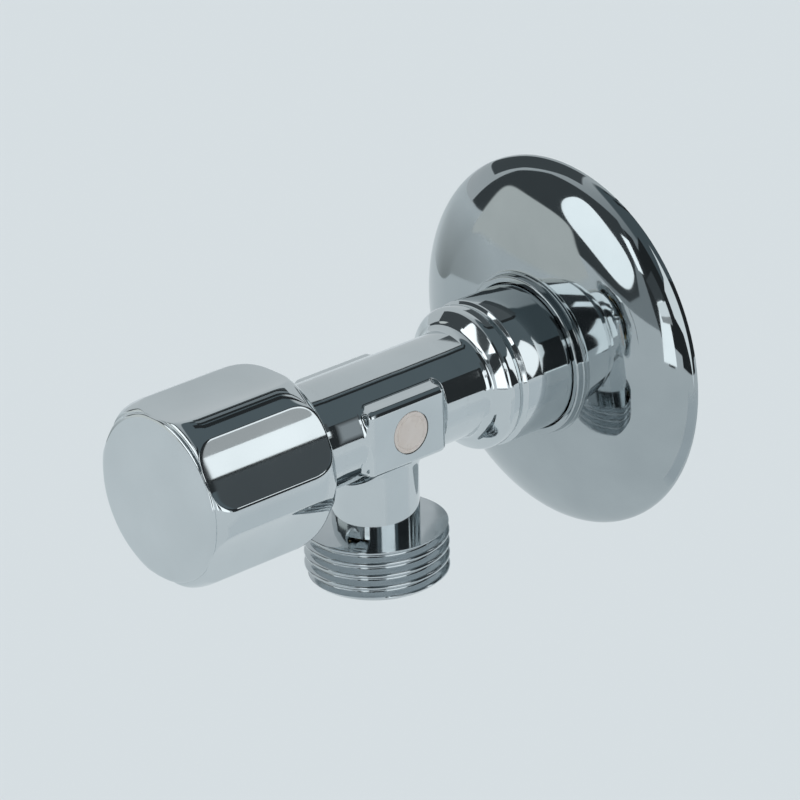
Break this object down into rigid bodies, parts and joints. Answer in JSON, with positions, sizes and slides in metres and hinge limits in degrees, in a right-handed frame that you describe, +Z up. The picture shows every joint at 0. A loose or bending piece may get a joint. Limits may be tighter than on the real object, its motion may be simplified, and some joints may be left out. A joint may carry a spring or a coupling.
{
  "type": "angle stop valve",
  "caption": "Chrome angle stop valve with a wall inlet, sliding round flange, fluted knob and threaded outlet pointing down.",
  "frame": {"origin": "where the finished wall meets the inlet's axis", "axes": "+Y into the wall along the inlet, so the valve stands out along -Y; -Z down the outlet; +Z up"},
  "size_m": [0.056, 0.088, 0.056],
  "materials": {
    "chrome": "polished",
    "brass": "machined",
    "steel": "plain",
    "rubber": "matt",
    "white_plastic": "matt",
    "strainer_plastic": "matt",
    "fibre": "matt",
    "badge": "satin"
  },
  "bodies": {
    "valve": {"valve_body": "chrome", "side_badge": "badge", "inlet_strainer_frame": "strainer_plastic", "inlet_strainer_sieve": "steel", "headwork_housing": "brass", "housing_gasket": "fibre", "thrust_washer": "white_plastic"},
    "flange": {"wall_flange": "chrome", "flange_friction_ring": "rubber"},
    "handle": {"control_knob": "chrome", "knob_insert": "white_plastic", "knob_grub_screw": "steel", "spindle": "brass", "spindle_o_ring_inner": "rubber", "spindle_o_ring_outer": "rubber", "circlip": "steel"},
    "plunger": {"plunger": "brass", "plunger_o_ring": "rubber", "valve_washer": "rubber", "washer_plate": "steel", "washer_screw": "steel"}
  },
  "joints": [
    {"name": "knob_turn", "type": "hinge", "parent": "valve", "child": "handle", "pos_m": [0, -0.064, 0], "axis": [0, -1, 0], "range_deg": [0, 990]},
    {"name": "plunger_lift", "type": "slide", "parent": "valve", "child": "plunger", "axis": [0, -1, 0], "range_m": [0, 0.00413]},
    {"name": "flange_slide", "type": "slide", "parent": "valve", "child": "flange", "axis": [0, -1, 0], "range_m": [0, 0.008]}
  ],
  "couplings": [
    {"joint": "plunger_lift", "follows": "knob_turn", "m_per_rad": 0.00023873}
  ]
}
